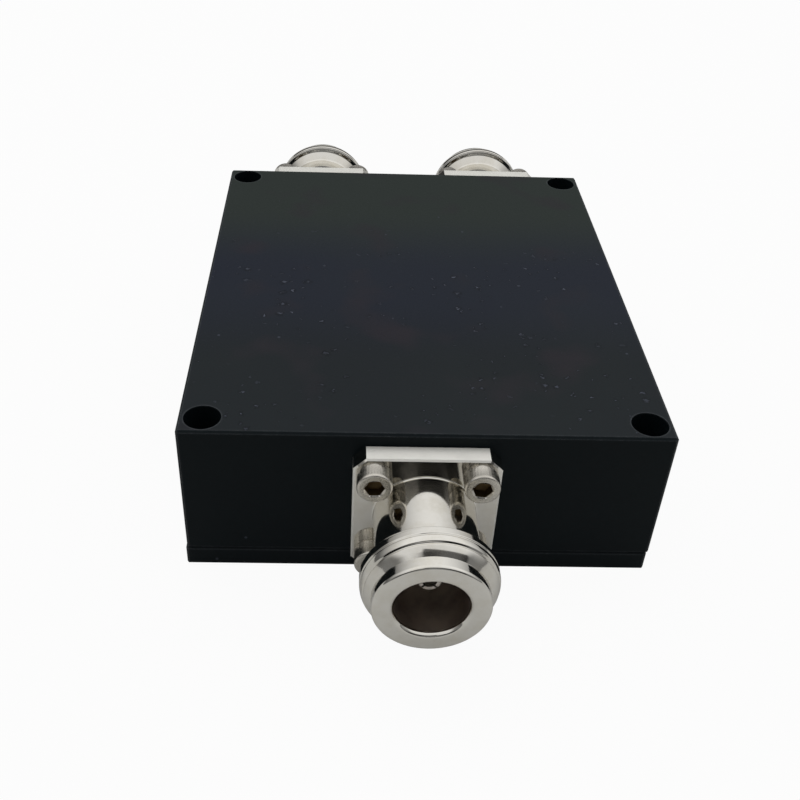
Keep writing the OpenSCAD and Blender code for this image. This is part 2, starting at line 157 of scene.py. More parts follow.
class SplitterConnector(bpy.types.PropertyGroup):
    """Sizes of a connector's body, measured from the face of the housing."""
    flange_side: length("Flange side", "Side of the square flange", SHELL_HIGH.x - SHELL_LOW.x)
    flange_thickness: length("Flange thickness", "Thickness of the flange", 2.6 * MM)
    corner_cut: length("Corner cut", "Cut across the flange's corners", 1.5 * MM)
    edge_break: length("Edge break", "Bevel along the flange's edges", 0.2 * MM)
    hole_diameter: length("Hole diameter", "Diameter of the flange's screw holes", 2.9 * MM)
    hole_pitch: length("Hole pitch", "Distance between the flange's screw holes", 12.5 * MM)
    barrel_diameter: length("Barrel", "Diameter between flange and thread", 12.4 * MM)
    barrel_fillet: length("Barrel fillet", "Fillet between barrel and flange", 0.2 * MM)
    thread_diameter: length("Thread", "Outside diameter of the thread", 15.875 * MM)
    thread_start: length("Thread start", "Where the thread has its full diameter", 12.4 * MM)
    thread_length: length("Thread length", "Length at full diameter", 2.1 * MM)
    thread_pitch: length("Thread pitch", "Distance between two turns", 1.0583 * MM)
    thread_depth: length("Thread depth", "Depth of the thread's groove", 0.13 * MM)
    thread_groove: length("Thread groove", "Half the width of the thread's groove", 0.22 * MM)
    thread_phase: length("Thread phase", "How far the groove is moved outwards", 1.075 * MM)
    collar_round: length("Collar round", "Rounding of the collar's front edge", 0.9 * MM)
    collar_break: length("Collar break", "Rounding of the collar's back edge", 0.5 * MM)
    shoulder_step: length("Shoulder step", "How far the collar's back cone is set in", 0.46 * MM)
    shoulder_fillet: length("Shoulder fillet", "Fillets behind the collar", 0.2 * MM)
    lip_diameter: length("Lip", "Diameter of the lip", 13.4 * MM)
    lip_round: length("Lip round", "Rounding of the lip's outer edge", 0.42 * MM)
    shell_length: length("Length", "Length of the whole body", SHELL_HIGH.y - SHELL_LOW.y)
    socket_diameter: length("Socket", "Diameter of the socket", 8.4 * MM)
    socket_depth: length("Socket depth", "Depth of the socket", 9.2 * MM)
    mouth_width: length("Mouth width", "Chamfer at the mouth of the socket, across", 0.30 * MM)
    mouth_depth: length("Mouth depth", "Chamfer at the mouth of the socket, inwards", 0.42 * MM)
    mouth_round: length("Mouth round", "Rounding of the chamfer's edges", 0.45 * MM)
    bead_bore: length("Bead bore", "Diameter of the bore for the insulator", 7.1 * MM)


class SplitterScrews(bpy.types.PropertyGroup):
    """Sizes of the flange screws."""
    head_diameter: length("Head diameter", "Diameter of the head", 4.2 * MM)
    head_height: length("Head height", "Height of the head", 2.3 * MM)
    head_round: length("Head round", "Rounding of the head's edge", 0.3 * MM)
    hex_flats: length("Hexagon", "Size across the flats of the socket", 2.1 * MM)
    hex_depth: length("Hexagon depth", "Depth of the socket", 1.3 * MM)
    shank_diameter: length("Shank diameter", "Diameter of the shank", 2.5 * MM)
    shank_depth: length("Shank depth", "Length of the shank inside the housing", 5.5 * MM)
    shank_bevel: length("Shank bevel", "Bevel at the end of the shank", 0.2 * MM)
    head_bevel: length("Head bevel", "Bevel under the head", 0.06 * MM)
    knurl_depth: length("Knurl depth", "Depth of the ridges around the head", 0.012 * MM)
    knurl_start: length("Knurl start", "Plain band under the ridges", 0.12 * MM)
    knurl_end: length("Knurl end", "Plain band between ridges and rounding", 0.15 * MM)
    knurl_fade: length("Knurl fade", "Length over which the ridges rise and end", 0.08 * MM)
    mouth_margin: length("Mouth margin", "Room around the hexagon's corners", 0.06 * MM)
    mouth_break: length("Mouth break", "Fine bevel around the hexagon's mouth", 0.02 * MM)
    mouth_depth: length("Mouth depth", "Depth of the hexagon's round mouth", 0.14 * MM)
    drill_depth: length("Drill depth", "Depth of the cone under the hexagon", 0.25 * MM)


class SplitterFinishes(bpy.types.PropertyGroup):
    """Colours of the finishes."""
    anodised: colour("Anodised", "Black anodised aluminium", (0.0030, 0.0060, 0.0080))
    anodised_light: colour("Anodised, light", "Paler patches of it", (0.0042, 0.0078, 0.0090))
    # Colours of the upward faces: dust, painted paler than the sides as light from above
    lit_top_film: colour("Film", "Upward faces, under a thin film of dust", (0.0134, 0.0166, 0.0198))
    lit_top_film_blue: colour("Film, blue", "Bluish patches of them", (0.0144, 0.0177, 0.0276))
    lit_top_film_green: colour("Film, green", "Greenish patches of them", (0.0218, 0.0282, 0.0256))
    lit_top_film_red: colour("Film, red", "Reddish patches of them", (0.0236, 0.0198, 0.0256))
    dust: colour("Dust", "Specks of dust", (0.085, 0.095, 0.125))
    # Painted shade around each speck
    speck_rim_shade: colour("Pit", "Rims of the specks", (0.004, 0.005, 0.006))
    # Pale edges: rubbed anodising, and a painted highlight along the edges
    edge: colour("Edge", "Edges where the black is rubbed", (0.10, 0.108, 0.118))
    nickel: colour("Nickel", "Nickel plate", (0.74, 0.72, 0.67))
    nickel_warm: colour("Nickel, warm", "Warmer patches of it", (0.68, 0.65, 0.58))
    milled: colour("Milled", "Matt edges of the flanges", (0.88, 0.87, 0.82))
    steel: colour("Steel", "Screws", (0.63, 0.60, 0.54))
    contact: colour("Contact", "Plated contacts", (0.84, 0.82, 0.77))
    insulator: colour("Insulator", "White plastic", (0.82, 0.81, 0.77))
    board: colour("Board", "Circuit board", (0.05, 0.11, 0.06))
    copper: colour("Copper", "Track", (0.72, 0.40, 0.22))
    resistor: colour("Resistor", "Body of a chip resistor", (0.03, 0.03, 0.035))
    solder: colour("Solder", "Solder and soldered ends", (0.60, 0.61, 0.62))
    # Painted shade: a darker, browner metal for the dark inside the deep sockets
    bore: colour("Bore", "Tarnished metal inside the sockets", (0.47, 0.40, 0.35))
    # Painted shade: a dark brown metal for the dark inside the hexagon sockets
    shaded_hexagon: colour("Broached", "Oiled metal inside the screws' hexagons", (0.17, 0.12, 0.06))


class SplitterStage(bpy.types.PropertyGroup):
    """Floor, light and camera."""
    floor_colour: colour("Floor", "Colour of the floor", (0.56, 0.56, 0.55))
    floor_side: length("Floor side", "Side of the floor", 3.0)
    softbox_side: length("Softbox side", "Side of the lamp above", 0.5)
    softbox_power: FloatProperty(
        name="Softbox power", description="Power of the lamp above", default=1.2, min=0.0,
        unit="POWER")
    lens: FloatProperty(
        name="Lens", description="Focal length on a 36 mm sensor", default=45.54, unit="CAMERA")


def shader(name):
    """Makes a material and returns it with its node tree and its Principled node."""
    material = bpy.data.materials.new(name)
    material.use_nodes = True
    tree = material.node_tree
    return material, tree, tree.nodes["Principled BSDF"]


def add(tree, kind, inputs=None, **settings):
    """Adds a shader node; an input is a plain value or the socket that feeds it."""
    made = tree.nodes.new("ShaderNode" + kind)
    for name, value in settings.items():
        setattr(made, name, value)
    for name, value in (inputs or {}).items():
        feed(tree, made.inputs[name], value)
    return made


def feed(tree, socket, value):
    """Sets a socket to a plain value, or links it to the socket that feeds it."""
    if isinstance(value, bpy.types.NodeSocket):
        tree.links.new(value, socket)
    else:
        socket.default_value = value


def opaque(rgb):
    return (*rgb, 1.0)


def toned(rgb, share):
    """A colour with all its parts multiplied: darker below 1, paler above."""
    return tuple(share * part for part in rgb)


def places(tree):
    """The part's own coordinates, in metres."""
    return add(tree, "TexCoord").outputs["Object"]


def noise(tree, vector, per_metre, detail=2.0, roughness=0.5):
    """Noise with so many lumps in a metre."""
    made = add(tree, "TexNoise", {
        "Vector": vector, "Scale": per_metre, "Detail": detail, "Roughness": roughness})
    return made.outputs["Fac"]


def spread(tree, value, low, high, to_low, to_high, course="LINEAR"):
    """Maps a range to another one and stops at its ends."""
    made = add(tree, "MapRange", {
        "Value": value, "From Min": low, "From Max": high, "To Min": to_low, "To Max": to_high},
        interpolation_type=course)
    return made.outputs["Result"]


def calculate(tree, operation, first, second):
    """One step of arithmetic; each value is a number or a socket."""
    made = add(tree, "Math", operation=operation)
    feed(tree, made.inputs[0], first)
    feed(tree, made.inputs[1], second)
    return made.outputs["Value"]


def dot_product(tree, first, second):
    """How far two directions agree; each is a vector or a socket."""
    made = add(tree, "VectorMath", operation="DOT_PRODUCT")
    feed(tree, made.inputs[0], first)
    feed(tree, made.inputs[1], second)
    return made.outputs["Value"]


def blend(tree, factor, first, second):
    """Mixes two colours, each a tuple or a socket."""
    made = add(tree, "Mix", data_type="RGBA")
    feed(tree, made.inputs["Factor"], factor)
    for socket, value in ((made.inputs[6], first), (made.inputs[7], second)):
        feed(tree, socket, value if isinstance(value, bpy.types.NodeSocket) else opaque(value))
    return made.outputs[2]


def bump(tree, height, depth, strength, below=None):
    """A normal that is raised by a height between 0 and 1, on top of the bump below it."""
    made = add(tree, "Bump", {"Height": height, "Distance": depth, "Strength": strength})
    if below:
        feed(tree, made.inputs["Normal"], below)
    return made.outputs["Normal"]


def specks(tree, vector, per_metre, radius, share):
    """Scattered dots: their radius is a part of the cell, and share the part of cells with one."""
    cells = add(tree, "TexVoronoi", {"Vector": vector, "Scale": per_metre})
    dot = calculate(tree, "LESS_THAN", cells.outputs["Distance"], radius)
    pick = add(tree, "SeparateColor", {"Color": cells.outputs["Color"]}).outputs["Red"]
    return calculate(tree, "MULTIPLY", dot, calculate(tree, "LESS_THAN", pick, share))


def dust_and_lit_top(tree, finishes, place, mottle):
    """Colour of the upward faces, dust with a painted paler top as light from above: neutral in
    front, bluish in the middle, greenish and paler behind.
    """
    along = add(tree, "SeparateXYZ", {"Vector": place}).outputs["Y"]
    middle = blend(tree, spread(tree, along, *TURNS_BLUE, 0.0, 1.0, "SMOOTHSTEP"),
                   finishes.lit_top_film, finishes.lit_top_film_blue)
    behind = blend(tree, spread(tree, along, *TURNS_GREEN, 0.0, 1.0, "SMOOTHSTEP"),
                   middle, finishes.lit_top_film_green)
    stains = spread(tree, noise(tree, place, per_metre=90.0), 0.55, 0.72, 0.0, 0.7)
    stained = blend(tree, stains, behind, finishes.lit_top_film_red)
    return blend(tree, spread(tree, mottle, 0.0, 1.0, 0.0, 0.3), stained, finishes.lit_top_film_green)


def speckle(tree, finishes, place, base, share):
    """Lays uneven specks of dust, each ringed by painted shade, over a colour; returns it with the
    specks' height.
    """
    shifts = add(tree, "TexNoise", {"Vector": place, "Scale": 1900.0}).outputs["Color"]
    uneven = add(tree, "VectorMath", operation="MULTIPLY_ADD")
    feed(tree, uneven.inputs[0], shifts)
    feed(tree, uneven.inputs[1], SPECK_SHIFT)
    feed(tree, uneven.inputs[2], place)
    height = 0.0
    for per_metre, radius, picked in SPECK_LAYERS:
        cells = add(tree, "TexVoronoi", {"Vector": uneven.outputs["Vector"], "Scale": per_metre},
                    voronoi_dimensions="2D")
        lot = add(tree, "SeparateColor", {"Color": cells.outputs["Color"]})
        present = calculate(tree, "MULTIPLY", share,
                            calculate(tree, "LESS_THAN", lot.outputs["Red"], picked))
        size = spread(tree, lot.outputs["Green"], 0.0, 1.0, 0.4 * radius, radius)
        reach = calculate(tree, "DIVIDE", cells.outputs["Distance"], size)
        # A ring of painted shade around each speck
        rim = calculate(tree, "MULTIPLY", spread(tree, reach, 1.0, 2.0, 0.5, 0.0), present)
        grain = calculate(tree, "MULTIPLY", spread(tree, reach, 0.3, 1.0, 1.0, 0.0), present)
        base = blend(tree, rim, base, finishes.speck_rim_shade)
        shown = spread(tree, lot.outputs["Blue"], 0.0, 1.0, 0.35, 1.0)
        base = blend(tree, calculate(tree, "MULTIPLY", grain, shown), base, finishes.dust)
        height = calculate(tree, "ADD", height, grain)
    return base, height


def black_anodised(finishes):
    """Blasted and anodised aluminium with fine grain, dust on top with the top painted paler as
    light from above, specks ringed with painted shade, and faintly worn edges with a painted
    highlight.
    """
    material, tree, surface = shader("black_anodised")
    place = places(tree)
    normal = add(tree, "NewGeometry").outputs["Normal"]
    upward = add(tree, "SeparateXYZ", {"Vector": normal}).outputs["Z"]
    # Upward faces: dust, and a painted paler top as light from above
    dusty_lit_top = spread(tree, upward, 0.8, 0.95, 0.0, 1.0)
    patches = spread(tree, noise(tree, place, per_metre=38.0, detail=3.0), 0.35, 0.7, 0.0, 1.0)
    grain = noise(tree, place, per_metre=5200.0, roughness=0.7)
    mottle = calculate(tree, "MULTIPLY", patches, spread(tree, grain, 0.3, 0.7, 0.3, 1.0))
    base = blend(tree, dusty_lit_top,
                 blend(tree, mottle, finishes.anodised, finishes.anodised_light),
                 dust_and_lit_top(tree, finishes, place, mottle))

    along = add(tree, "SeparateXYZ", {"Vector": place}).outputs["Y"]
    in_front = spread(tree, along, *SPECKS_END, 1.0, 0.12)
    dusty = spread(tree, noise(tree, place, per_metre=110.0), 0.46, 0.58, 0.05, 1.0)
    share = calculate(tree, "MULTIPLY", dusty_lit_top, calculate(tree, "MULTIPLY", in_front, dusty))
    base, height = speckle(tree, finishes, place, base, share)
    motes = specks(tree, place, per_metre=260.0, radius=0.05, share=0.3)
    base = blend(tree, calculate(tree, "MULTIPLY", motes, 0.35), base, finishes.dust)

    # Paler edges: rubbed anodising in patches, and a painted highlight as on a rounded edge
    eased = add(tree, "Bevel", {"Radius": 0.4 * MM}, samples=6).outputs["Normal"]
    edge = spread(tree, dot_product(tree, eased, normal), 0.86, 0.99, 1.0, 0.0)
    worn = noise(tree, place, per_metre=900.0, detail=4.0, roughness=0.75)
    rubbed_and_highlit = spread(tree, worn, 0.45, 0.75, 0.3, 0.7)
    base = blend(tree, calculate(tree, "MULTIPLY", edge, rubbed_and_highlit), base, finishes.edge)

    feed(tree, surface.inputs["Base Color"], base)
    feed(tree, surface.inputs["Roughness"], spread(tree, grain, 0.25, 0.75, 0.46, 0.62))
    raised = bump(tree, height, depth=0.08 * MM, strength=0.8)
    feed(tree, surface.inputs["Normal"],
         bump(tree, grain, depth=0.012 * MM, strength=0.5, below=raised))
    surface.inputs["Specular IOR Level"].default_value = 0.10
    return material


def turning_marks(tree):
    """Fine rings that follow the turned section."""
    travelled = add(tree, "Attribute", attribute_name=TURNING).outputs["Fac"]
    made = add(tree, "TexNoise", {"W": travelled, "Scale": 9000.0, "Detail": 3.0},
               noise_dimensions="1D")
    return made.outputs["Fac"]


def milling_marks(tree):
    """Fine lines along X."""
    stretched = add(tree, "Mapping", {"Vector": places(tree), "Scale": (0.04, 1.0, 1.0)})
    return noise(tree, stretched.outputs["Vector"], per_metre=9000.0, detail=3.0)


def nickel(name, clean, dull, roughness, marks, strength, metallic=1.0):
    """Nickel plate in two tones, between two roughnesses, with marks of a given strength."""
    material, tree, surface = shader(name)
    lines = marks(tree)
    smudges = noise(tree, places(tree), per_metre=420.0, detail=4.0, roughness=0.6)
    feed(tree, surface.inputs["Base Color"],
         blend(tree, spread(tree, smudges, 0.42, 0.7, 0.0, 1.0), clean, dull))
    mixed = calculate(tree, "ADD", calculate(tree, "MULTIPLY", smudges, 0.6),
                      calculate(tree, "MULTIPLY", lines, 0.4))
    feed(tree, surface.inputs["Roughness"], spread(tree, mixed, 0.3, 0.7, *roughness))
    feed(tree, surface.inputs["Normal"], bump(tree, lines, 0.002 * MM, strength))
    surface.inputs["Metallic"].default_value = metallic
    return material


def plated(name, tint, worn, roughness, per_metre):
    """Metal in one colour with fine grain and worn patches, which have a share of the colour."""
    material, tree, surface = shader(name)
    place = places(tree)
    grain = noise(tree, place, per_metre, detail=3.0, roughness=0.65)
    patches = noise(tree, place, per_metre / 9.0, detail=3.0)
    feed(tree, surface.inputs["Base Color"],
         blend(tree, spread(tree, patches, 0.4, 0.7, 0.0, 1.0), tint, toned(tint, worn)))
    feed(tree, surface.inputs["Roughness"], spread(tree, grain, 0.3, 0.7, *roughness))
    feed(tree, surface.inputs["Normal"], bump(tree, grain, depth=0.004 * MM, strength=0.35))
    surface.inputs["Metallic"].default_value = 1.0
    return material


def moulded(name, tint, clouded, roughness, per_metre):
    """Plastic or ceramic with a fine grain and clouds, which have a share of its colour."""
    material, tree, surface = shader(name)
    place = places(tree)
    grain = noise(tree, place, per_metre, detail=3.0, roughness=0.6)
    clouds = noise(tree, place, per_metre / 20.0)
    feed(tree, surface.inputs["Base Color"],
         blend(tree, spread(tree, clouds, 0.35, 0.65, 0.0, 1.0), tint, toned(tint, clouded)))
    feed(tree, surface.inputs["Roughness"], spread(tree, grain, 0.3, 0.7, *roughness))
    feed(tree, surface.inputs["Normal"], bump(tree, grain, depth=0.006 * MM, strength=0.3))
    return material


def woven_board(finishes):
    """Circuit board with the weave of its glass cloth."""
    material, tree, surface = shader("board")
    place = places(tree)
    threads = []
    for direction in ("X", "Y"):
        wave = add(tree, "TexWave", {"Vector": place, "Scale": 420.0, "Distortion": 0.4},
                   bands_direction=direction)
        threads.append(wave.outputs["Fac"])
    weave = calculate(tree, "MULTIPLY", *threads)
    feed(tree, surface.inputs["Base Color"],
         blend(tree, weave, finishes.board, toned(finishes.board, 1.5)))
    feed(tree, surface.inputs["Roughness"], spread(tree, weave, 0.0, 1.0, 0.45, 0.6))
    feed(tree, surface.inputs["Normal"], bump(tree, weave, depth=0.01 * MM, strength=0.4))
    return material


def finish_nodes(material, *nodes):
    """Gives a finish to CAD nodes that keep their own shape."""
    for name in nodes:
        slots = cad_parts[name].material_slots
        if not slots:
            raise RuntimeError(f"{name} has no material slot")
        for slot in slots:
            slot.material = material


def add_rings(bm, rings, columns):
    """Adds a ring of vertices for each (height, radius); a radius may depend on the angle."""
    mark = bm.verts.layers.float[TURNING]
    made = []
    travelled = 0.0
    before = None
    for height, radius in rings:
        ring = []
        for column in range(columns):
            angle = math.tau * column / columns
            reach = radius(angle) if callable(radius) else radius
            vertex = bm.verts.new((reach * math.cos(angle), reach * math.sin(angle), height))
            ring.append(vertex)
        here = Vector((ring[0].co.x, height))
        travelled += (here - before).length if before else 0.0
        before = here
        for vertex in ring:
            vertex[mark] = travelled
        made.append(ring)
    return made


def skin(bm, rings, *materials):
    """Joins rings that follow each other with faces; the materials take turns around a ring."""
    for low, high in zip(rings, rings[1:]):
        for here in range(len(low)):
            ahead = (here + 1) % len(low)
            face = bm.faces.new((low[here], low[ahead], high[ahead], high[here]))
            face.material_index = materials[here % len(materials)]


def loop_edges(bm, ring):
    """The closed loop of edges through a ring of vertices."""
    edges = []
    for here, vertex in enumerate(ring):
        ahead = ring[(here + 1) % len(ring)]
        edges.append(bm.edges.get((vertex, ahead)) or bm.edges.new((vertex, ahead)))
    return edges


def fill_plate(bm, rings, up, material):
    """Fills the plane between an outline and the rings inside it."""
    edges = [edge for ring in rings for edge in loop_edges(bm, ring)]
    made = bmesh.ops.triangle_fill(bm, use_beauty=True, edges=edges, normal=(0.0, 0.0, up))
    for item in made["geom"]:
        if isinstance(item, bmesh.types.BMFace):
            item.material_index = material


def arc(centre, radius, start, end):
    """Points (height, radius) of a rounded edge, from one angle to another."""
    points = []
    for step in range(ROUND_STEPS + 1):
        angle = start + (end - start) * step / ROUND_STEPS
        points.append((centre[0] + radius * math.sin(angle),
                       centre[1] + radius * math.cos(angle)))
    return points


def smooth_step(low, high, value):
    """Goes from 0 to 1 between two values, with a soft start and end."""
    part = min(1.0, max(0.0, (value - low) / (high - low)))
    return part * part * (3.0 - 2.0 * part)


def rounded_max(first, second, width):
    """The larger of two values, with a rounding as wide as given where they are alike."""
    alike = max(0.0, width - abs(first - second))
    return max(first, second) + alike * alike / (4.0 * width)


def thread_radius(sizes, height):
    """Radius of the collar at a height, as a function of the angle."""
    crest = sizes.thread_diameter / 2.0
    from_back = sizes.thread_start - height
    from_front = height - sizes.thread_start - sizes.thread_length
    shoulder = rounded_max(crest - SHOULDER_RISE * from_back,
                           crest - sizes.shoulder_step - from_back, sizes.shoulder_fillet)
    back_cut = crest - rounded_max(shoulder, sizes.barrel_diameter / 2.0, sizes.shoulder_fillet)
    front_cut = rounded_max(0.0, from_front, sizes.collar_round)
    envelope = crest - rounded_max(back_cut, front_cut, sizes.collar_break)
    run_in = smooth_step(*THREAD_RUN_IN, -from_back)
    run_out = 1.0 - smooth_step(*THREAD_RUN_OUT, from_front)
    depth = sizes.thread_depth * run_in * run_out

    def radius(angle):
        turn = ((height - sizes.thread_phase) / sizes.thread_pitch - angle / math.tau) % 1.0
        away = min(1.0, abs(turn - 0.5) * sizes.thread_pitch / sizes.thread_groove)
        return envelope - depth * (0.5 + 0.5 * math.cos(math.pi * away))

    return radius


def mouth_rings(sizes, socket, tip):
    """Chamfer at the mouth of the socket, with both of its edges rounded."""
    slope = math.atan2(sizes.mouth_depth, sizes.mouth_width)
    face_edge = socket + sizes.mouth_width + sizes.mouth_round * math.tan(slope / 2.0)
    bore_edge = (tip - sizes.mouth_depth
                 - sizes.mouth_round * math.tan((QUARTER - slope) / 2.0))
    rings = [(tip, face_edge + FLAT_EDGE)]
    rings += arc((tip - sizes.mouth_round, face_edge), sizes.mouth_round,
                 QUARTER, QUARTER + slope)
    rings += arc((bore_edge, socket + sizes.mouth_round), sizes.mouth_round,
                 QUARTER + slope, 2.0 * QUARTER)
    rings.append((bore_edge - FLAT_EDGE, socket))
    return rings


def shell_rings(sizes):
    """Section of a body from the foot of the barrel over the lip to the back of its bore."""
    barrel = sizes.barrel_diameter / 2.0
    crest = sizes.thread_diameter / 2.0
    lip = sizes.lip_diameter / 2.0
    socket = sizes.socket_diameter / 2.0
    tip = sizes.shell_length
    thread_low = sizes.thread_start - (crest - barrel)
    thread_high = sizes.thread_start + sizes.thread_length + (crest - lip)
    fillet = sizes.barrel_fillet

    rings = [(sizes.flange_thickness, barrel + fillet + FLAT_EDGE)]
    rings += arc((sizes.flange_thickness + fillet, barrel + fillet), fillet,
                 -QUARTER, -2.0 * QUARTER)
    rings.append((sizes.flange_thickness + fillet + FLAT_EDGE, barrel))
    rings.append((thread_low - FLAT_EDGE, barrel))
    for ring in range(THREAD_RINGS + 1):
        height = thread_low + (thread_high - thread_low) * ring / THREAD_RINGS
        rings.append((height, thread_radius(sizes, height)))
    rings.append((thread_high + FLAT_EDGE, lip))
    rings.append((tip - sizes.lip_round - FLAT_EDGE, lip))
    rings += arc((tip - sizes.lip_round, lip - sizes.lip_round), sizes.lip_round, 0.0, QUARTER)
    rings.append((tip, lip - sizes.lip_round - FLAT_EDGE))
    rings += mouth_rings(sizes, socket, tip)
    rings.append((tip - sizes.socket_depth, socket))
    rings.append((tip - sizes.socket_depth, sizes.bead_bore / 2.0))
    rings.append((0.0, sizes.bead_bore / 2.0))
    return rings


def flange_outline(bm, sizes, inset, height):
    """The eight corners of the flange at a height, moved inwards by an inset."""
    half = sizes.flange_side / 2.0 - inset
    cut = sizes.corner_cut - inset * (2.0 - math.sqrt(2.0))
    near = half - cut
    corners = ((near, -half), (half, -near), (half, near), (near, half),
               (-near, half), (-half, near), (-half, -near), (-near, -half))
    return [bm.verts.new((x, y, height)) for x, y in corners]


def flange_screw_places(sizes):
    """Middles of the flange's four screws."""
    half = sizes.hole_pitch / 2.0
    return [(x * half, y * half) for x in (-1, 1) for y in (-1, 1)]


def flange_holes(bm, sizes):
    """Walls of the four screw holes; returns their rings at the back and at the front."""
    radius = sizes.hole_diameter / 2.0
    back, front = [], []
    for x, y in flange_screw_places(sizes):
        rings = add_rings(bm, [(0.0, radius), (sizes.flange_thickness, radius)], HOLE_COLUMNS)
        for ring in rings:
            bmesh.ops.translate(bm, verts=ring, vec=(x, y, 0.0))
        skin(bm, rings, MILLED)
        back.append(rings[0])
        front.append(rings[1])
    return back, front


def connector_body(bm, sizes):
    """One closed skin: flange, barrel, threaded collar, lip, socket and bore."""
    turned = add_rings(bm, shell_rings(sizes), SHELL_COLUMNS)
    skin(bm, turned[:1 - BORE_RINGS], TURNED)
    skin(bm, turned[-BORE_RINGS:], BORE)
    outlines = [flange_outline(bm, sizes, inset, height) for inset, height in (
        (sizes.edge_break, 0.0),
        (0.0, sizes.edge_break),
        (0.0, sizes.flange_thickness - sizes.edge_break),
        (sizes.edge_break, sizes.flange_thickness))]
    skin(bm, outlines, FACE, MILLED)
    back, front = flange_holes(bm, sizes)
    fill_plate(bm, [outlines[0], turned[-1], *back], -1.0, FACE)
    fill_plate(bm, [outlines[-1], turned[0], *front], 1.0, FACE)


def screw_rings(sizes, flange_thickness):
    """Section of a screw from the middle of its end over the head to the floor of its socket."""
    shank = sizes.shank_diameter / 2.0
    head = sizes.head_diameter / 2.0
    top = flange_thickness + sizes.head_height
    knurl_low = flange_thickness + sizes.knurl_start
    knurl_high = top - sizes.head_round - sizes.knurl_end
    mouth = sizes.hex_flats / math.sqrt(3.0) + sizes.mouth_margin
    hex_floor = top - sizes.hex_depth

    def ridged(angle):
        return head - sizes.knurl_depth * (0.5 + 0.5 * math.cos(KNURL_RIDGES * angle))

    def hexagon(angle):
        sector = math.pi / 3.0
        return sizes.hex_flats / 2.0 / math.cos(angle % sector - sector / 2.0)

    rings = [(-sizes.shank_depth, SCREW_MIDDLE),
             (-sizes.shank_depth, shank - sizes.shank_bevel),
             (-sizes.shank_depth + sizes.shank_bevel, shank),
             (flange_thickness, shank),
             (flange_thickness, head - sizes.head_bevel),
             (flange_thickness + sizes.head_bevel, head),
             (knurl_low, head),
             (knurl_low + sizes.knurl_fade, ridged),
             (knurl_high - sizes.knurl_fade, ridged),
             (knurl_high, head)]
    rings += arc((top - sizes.head_round, head - sizes.head_round), sizes.head_round, 0.0, QUARTER)
    rings += [(top, head - sizes.head_round - FLAT_EDGE),
              (top, mouth + sizes.mouth_break),
              (top - sizes.mouth_break, mouth),
              (top - sizes.mouth_depth, hexagon),
              (hex_floor, hexagon),
              (hex_floor - sizes.drill_depth, SCREW_MIDDLE)]
    return rings


def flange_screws(bm, sizes, connector, turns):
    """Four socket-head screws."""
    rings = screw_rings(sizes, connector.flange_thickness)
    for (x, y), turn in zip(flange_screw_places(connector), turns):
        made = add_rings(bm, rings, SCREW_COLUMNS)
        skin(bm, made[:1 - HEXAGON_RINGS], OUTSIDE)
        skin(bm, made[-HEXAGON_RINGS:], HEXAGON)
        bm.faces.new(made[0]).material_index = OUTSIDE
        bm.faces.new(made[-1]).material_index = HEXAGON
        place = Matrix.Translation((x, y, 0.0)) @ Matrix.Rotation(math.radians(turn), 4, "Z")
        bmesh.ops.transform(bm, matrix=place, verts=[v for ring in made for v in ring])


def port_matrix(port):
    """From a connector's own frame, along +Z from the face of the housing, to the part's."""
    low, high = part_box(port + "_shell")
    middle = (low + high) / 2.0
    outwards = 1.0 if middle.y > 0.0 else -1.0
    face = low.y if outwards > 0.0 else high.y
    return (Matrix.Translation((middle.x, face, middle.z))
            @ Matrix.Rotation(math.radians(-90.0 * outwards), 4, "X"))


def make_piece(name, matrix, build, materials):
    """Makes a piece from a function that fills a mesh in a connector's own frame."""
    bm = bmesh.new()
    bm.verts.layers.float.new(TURNING)
    build(bm)
    bmesh.ops.recalc_face_normals(bm, faces=bm.faces)
    bm.transform(matrix)
    mesh = bpy.data.meshes.new(name)
    bm.to_mesh(mesh)
    bm.free()
    for material in materials:
        mesh.materials.append(material)
    for polygon in mesh.polygons:
        polygon.use_smooth = True
    mesh.set_sharp_from_angle(angle=CRISP_ANGLE)
    piece = bpy.data.objects.new(name, mesh)
    bpy.context.scene.collection.objects.link(piece)
    return piece


class SPLITTER_OT_housing(bpy.types.Operator):
    """Gives the housing and its cover their anodised finish"""
    bl_idname = "splitter.housing"
    bl_label = "Housing and Cover"

    def execute(self, context):
        finishes = context.scene.splitter_finishes
        finish_nodes(black_anodised(finishes), "housing", "bottom_cover")
        return {"FINISHED"}


class SPLITTER_OT_connector_bodies(bpy.types.Operator):
    """Builds the three nickel-plated connector bodies with their threads"""
    bl_idname = "splitter.connector_bodies"
    bl_label = "Connector Bodies"

    def execute(self, context):
        sizes = context.scene.splitter_connector
        finishes = context.scene.splitter_finishes
        tones = (finishes.nickel, finishes.nickel_warm)
        materials = (
            nickel("nickel_turned", *tones, roughness=(0.05, 0.13),
                   marks=turning_marks, strength=0.08),
            nickel("nickel_face", *tones, roughness=(0.04, 0.10),
                   marks=milling_marks, strength=0.02),
            nickel("nickel_milled", finishes.milled, toned(finishes.milled, 0.94),
                   roughness=(0.50, 0.64), marks=milling_marks, strength=0.3, metallic=0.65),
            # Inside the socket: painted shade, a darker and browner metal
            nickel("nickel_bore_painted_shade", finishes.bore, toned(finishes.bore, 0.7),
                   roughness=(0.35, 0.5), marks=turning_marks, strength=0.2))
        for port in PORTS:
            piece = make_piece(port + "_body", port_matrix(port),
                               lambda bm: connector_body(bm, sizes), materials)
            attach(piece, BODY)
            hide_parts(port + "_shell")
        return {"FINISHED"}


